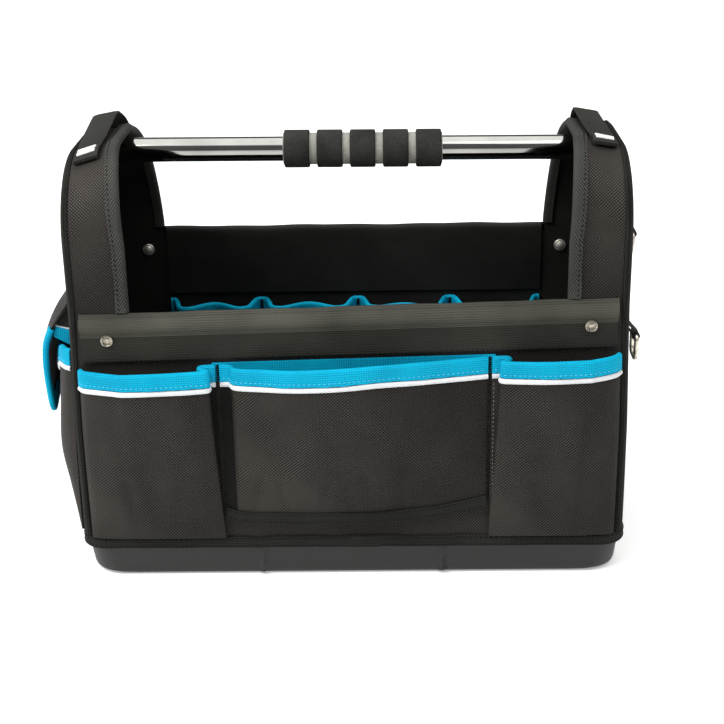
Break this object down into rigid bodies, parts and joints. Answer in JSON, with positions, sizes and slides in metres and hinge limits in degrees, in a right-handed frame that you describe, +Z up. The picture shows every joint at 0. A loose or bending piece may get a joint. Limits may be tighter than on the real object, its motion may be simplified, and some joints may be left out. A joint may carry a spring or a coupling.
{
  "type": "open tool tote bag",
  "caption": "Open black fabric tool tote on a moulded plastic tray, with arched ends, a chromed tube handle with a foam grip, and blue-edged pockets.",
  "frame": {"origin": "middle of the tray's flat underside, on the surface that the bag stands on", "axes": "+X towards the bag's right end seen from the pocketed front, +Y towards the back, +Z up"},
  "size_m": [0.5591, 0.2815, 0.4047],
  "materials": {
    "black_cloth": "laminated woven polyester",
    "black_tape": "woven tape",
    "rim_webbing": "ribbed webbing",
    "blue_tape": "woven tape",
    "pale_piping": "smooth",
    "tray_plastic": "fine grain",
    "chromed_steel": "polished",
    "plain_steel": "bright",
    "grip_foam": "matte foam",
    "grip_grey": "matte"
  },
  "bodies": {
    "bag": {"front_wall": "black_cloth", "back_wall": "black_cloth", "front_left_pocket": "black_cloth", "front_centre_pocket": "black_cloth", "front_right_pocket": "black_cloth", "inner_pockets": "black_cloth", "left_end_pocket": "black_cloth", "left_end_flap": "black_cloth", "left_end_front_gusset": "black_cloth", "left_end_back_gusset": "black_cloth", "left_end_wall": "black_cloth", "left_arch_strip": "black_cloth", "right_end_wall": "black_cloth", "right_arch_strip": "black_cloth", "base_binding": "black_tape", "front_centre_pocket_hem": "black_tape", "tool_ring_tab": "black_tape", "left_arch_binding": "black_tape", "left_end_binding": "black_tape", "left_arch_strap": "black_tape", "left_ring_tab": "black_tape", "right_arch_binding": "black_tape", "right_end_binding": "black_tape", "right_arch_strap": "black_tape", "right_ring_tab": "black_tape", "front_band": "rim_webbing", "back_band": "rim_webbing", "front_left_pocket_binding": "blue_tape", "front_centre_pocket_binding": "blue_tape", "front_right_pocket_binding": "blue_tape", "front_centre_backing": "blue_tape", "inner_pockets_binding": "blue_tape", "left_end_pocket_binding": "blue_tape", "left_end_flap_binding": "blue_tape", "front_left_pocket_piping": "pale_piping", "front_centre_pocket_piping": "pale_piping", "front_right_pocket_piping": "pale_piping", "left_end_pocket_piping": "pale_piping", "base_tray": "tray_plastic", "left_handle_socket": "tray_plastic", "right_handle_socket": "tray_plastic", "handle_tube": "chromed_steel", "front_left_rivet": "plain_steel", "front_right_rivet": "plain_steel", "back_left_rivet": "plain_steel", "back_right_rivet": "plain_steel", "grip_ring_1": "grip_foam", "grip_ring_2": "grip_foam", "grip_ring_3": "grip_foam", "grip_ring_4": "grip_foam", "grip_ring_5": "grip_foam", "grip_core": "grip_grey"},
    "left_ring_body": {"left_ring": "plain_steel"},
    "right_ring_body": {"right_ring": "plain_steel"},
    "tool_ring_body": {"tool_ring": "plain_steel"}
  },
  "joints": [
    {"name": "left_ring_swing", "type": "hinge", "parent": "bag", "child": "left_ring_body", "pos_m": [-0.259, 0, 0.287], "axis": [0, 1, 0], "range_deg": [-12, 150]},
    {"name": "right_ring_swing", "type": "hinge", "parent": "bag", "child": "right_ring_body", "pos_m": [0.259, 0, 0.287], "axis": [0, -1, 0], "range_deg": [-12, 150]},
    {"name": "tool_ring_swing", "type": "hinge", "parent": "bag", "child": "tool_ring_body", "pos_m": [0.267, 0, 0.187], "axis": [0, -1, 0], "range_deg": [-12, 150]}
  ]
}
